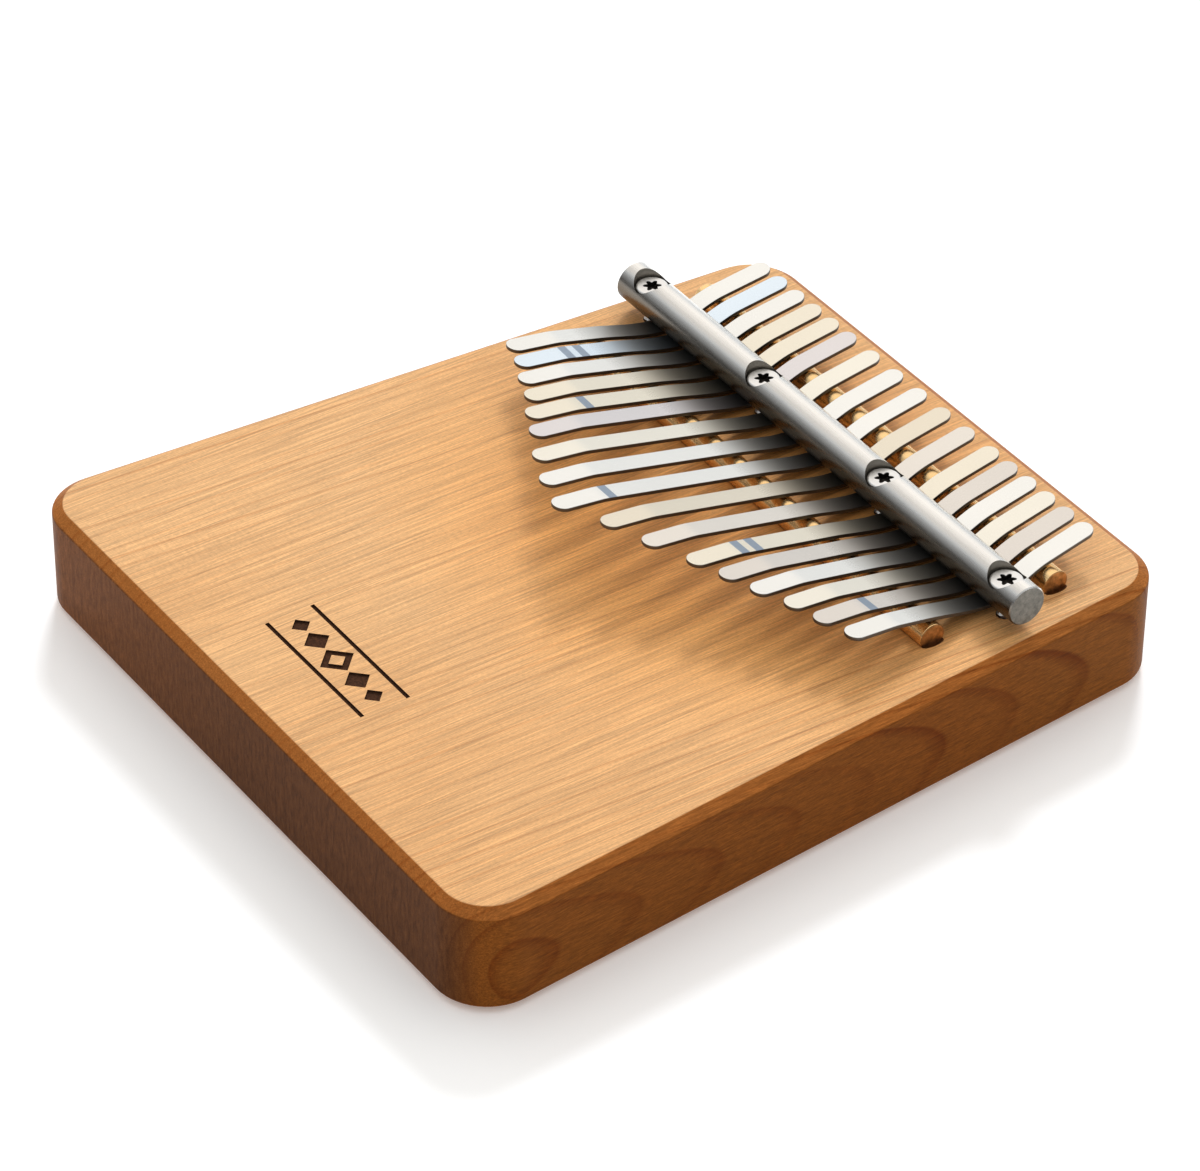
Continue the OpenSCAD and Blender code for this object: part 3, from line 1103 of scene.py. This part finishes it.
def sky_ramp(tree, value, stops):
    """Colours along a value from 0 to 1, from stops of place, grey and warmth."""
    ramp = tree.nodes.new("ShaderNodeValToRGB")
    tree.links.new(value, ramp.inputs["Fac"])
    elements = ramp.color_ramp.elements
    while len(elements) < len(stops):
        elements.new(0.5)
    for element, (place, grey, warmth) in zip(elements, stops):
        element.position = place
        element.color = (grey * (1 + warmth), grey, grey * (1 - warmth), 1.0)
    return ramp.outputs["Color"]


def build_world():
    """Studio surround: bright above and behind the object, a faint dome everywhere else."""
    world = bpy.data.worlds.new("studio")
    world.use_nodes = True
    bpy.context.scene.world = world
    tree = world.node_tree
    background = tree.nodes["Background"]
    coordinates = tree.nodes.new("ShaderNodeTexCoord").outputs["Generated"]
    toward_light = tree.nodes.new("ShaderNodeVectorMath")
    toward_light.operation = "DOT_PRODUCT"
    toward_light.inputs[1].default_value = from_angles(CAMERA_AZIMUTH + 180, SKY_ELEVATION)
    tree.links.new(coordinates, toward_light.inputs[0])
    direction = tree.nodes.new("ShaderNodeSeparateXYZ")
    tree.links.new(coordinates, direction.inputs[0])
    dome_stops = [(place, grey, 0.0) for place, grey in DOME_STOPS]
    brighter = tree.nodes.new("ShaderNodeMix")
    brighter.data_type = "RGBA"
    brighter.blend_type = "LIGHTEN"
    brighter.inputs["Factor"].default_value = 1.0
    key = sky_ramp(tree, toward_light.outputs["Value"], SKY_STOPS)
    dome = sky_ramp(tree, direction.outputs["Z"], dome_stops)
    tree.links.new(key, brighter.inputs["A"])
    tree.links.new(dome, brighter.inputs["B"])
    tree.links.new(brighter.outputs["Result"], background.inputs["Color"])
    background.inputs["Strength"].default_value = SKY_STRENGTH


def from_angles(azimuth, elevation):
    """Unit vector towards a place in the surround; azimuth 0 is in front of the player's end."""
    azimuth, elevation = math.radians(azimuth), math.radians(elevation)
    return Vector((
        math.sin(azimuth) * math.cos(elevation),
        -math.cos(azimuth) * math.cos(elevation),
        math.sin(elevation),
    ))


def build_sun(name, azimuth, elevation, colour, strength, softness):
    """Light from a wide part of the surround, which metal does not mirror."""
    light = bpy.data.lights.new(name, "SUN")
    light.color = colour
    light.energy = strength
    light.angle = math.radians(softness)
    sun = bpy.data.objects.new(name, light)
    sun.visible_glossy = False
    bpy.context.scene.collection.objects.link(sun)
    source = from_angles(azimuth, elevation)
    sun.rotation_mode = "QUATERNION"
    sun.rotation_quaternion = source.to_track_quat("Z", "Y")


def build_camera():
    back = from_angles(CAMERA_AZIMUTH, CAMERA_ELEVATION)
    data = bpy.data.cameras.new("camera")
    data.sensor_width = 36
    data.lens = CAMERA_LENS
    camera = bpy.data.objects.new("camera", data)
    bpy.context.scene.collection.objects.link(camera)
    camera.location = Vector(CAMERA_TARGET) + back * CAMERA_DISTANCE
    camera.rotation_mode = "QUATERNION"
    roll = Matrix.Rotation(math.radians(CAMERA_ROLL), 3, "Z").to_quaternion()
    camera.rotation_quaternion = back.to_track_quat("Z", "Y") @ roll
    data.clip_start, data.clip_end = 0.05, 20
    bpy.context.scene.camera = camera
    bpy.context.scene.view_settings.view_transform = "Standard"
    bpy.context.scene.view_settings.gamma = VIEW_GAMMA


# ---------------------------------------------------------------- the whole instrument

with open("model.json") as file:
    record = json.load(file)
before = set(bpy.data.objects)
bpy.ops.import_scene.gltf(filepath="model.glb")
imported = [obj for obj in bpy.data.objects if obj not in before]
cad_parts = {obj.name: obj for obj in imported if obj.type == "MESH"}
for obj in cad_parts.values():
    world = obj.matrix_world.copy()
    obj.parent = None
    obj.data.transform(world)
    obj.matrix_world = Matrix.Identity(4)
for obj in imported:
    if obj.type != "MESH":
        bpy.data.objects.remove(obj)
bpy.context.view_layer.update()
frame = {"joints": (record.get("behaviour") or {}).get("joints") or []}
JOINTS = {joint["name"]: joint for joint in frame["joints"]}

front_low, front_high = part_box("front_bridge_rod")
rear_low, rear_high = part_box("rear_bridge_rod")
bar_low, bar_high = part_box("pressure_bar")
tail_low, tail_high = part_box("tine_09")
FRONT_Y = (front_low.y + front_high.y) / 2
REAR_Y = (rear_low.y + rear_high.y) / 2
BAR_Y = (bar_low.y + bar_high.y) / 2
TAIL_END = tail_high.y
ROD_Z = (front_low.z + front_high.z) / 2
ROD_RADIUS = (front_high.z - front_low.z) / 2
FRONT_CONTACT = ROD_Z + (ROD_RADIUS + BRIDGE_GAP) / math.cos(RISE)
REAR_CONTACT = ROD_Z + (ROD_RADIUS + BRIDGE_GAP) / math.cos(TAIL_RISE)
DIP = tail_low.z
screws_low, screws_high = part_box("bar_screws")
OUTER_SCREW_X = screws_high.x - HEAD_RADIUS
SCREW_PLACES = (-OUTER_SCREW_X, -INNER_SCREW_X, INNER_SCREW_X, OUTER_SCREW_X)

STEEL = {tint: tine_material(tint) for tint in sorted(TINTS)}
INK = mark_material()
EDGE_STEEL = edge_material()

board = build_board()
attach(board, "body_board")
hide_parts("board")

brass = brass_material()
sawn_brass = sawn_material("sawn brass", (0.86, 0.47, 0.19))
for rod_node in BRIDGES:
    rod = build_rod(f"{rod_node}_bar", rod_node, brass, sawn_brass)
    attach(rod, "body_board")
    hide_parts(rod_node)

bar = build_bar()
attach(bar, "body_board")
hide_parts("pressure_bar")

zinc = screw_material()
painted_recess_shade = recess_shade_material()
for index, screw_x in enumerate(SCREW_PLACES):
    screw = build_screw(f"bar_screw_{index + 1}", screw_x, zinc, painted_recess_shade)
    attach(screw, "body_board")
    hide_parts("bar_screws")

for tine_index in range(1, TINE_COUNT + 1):
    strip, strip_place, strip_matrix = build_tine(tine_index)
    bend_tine(strip, tine_index)

build_floor()
build_world()
build_sun("main light", SUN_AZIMUTH, SUN_ELEVATION, SUN_COLOUR, SUN_STRENGTH, SUN_SOFTNESS)
build_sun("fill light", CAMERA_AZIMUTH, FILL_ELEVATION, FILL_COLOUR, FILL_STRENGTH, FILL_SOFTNESS)
build_camera()
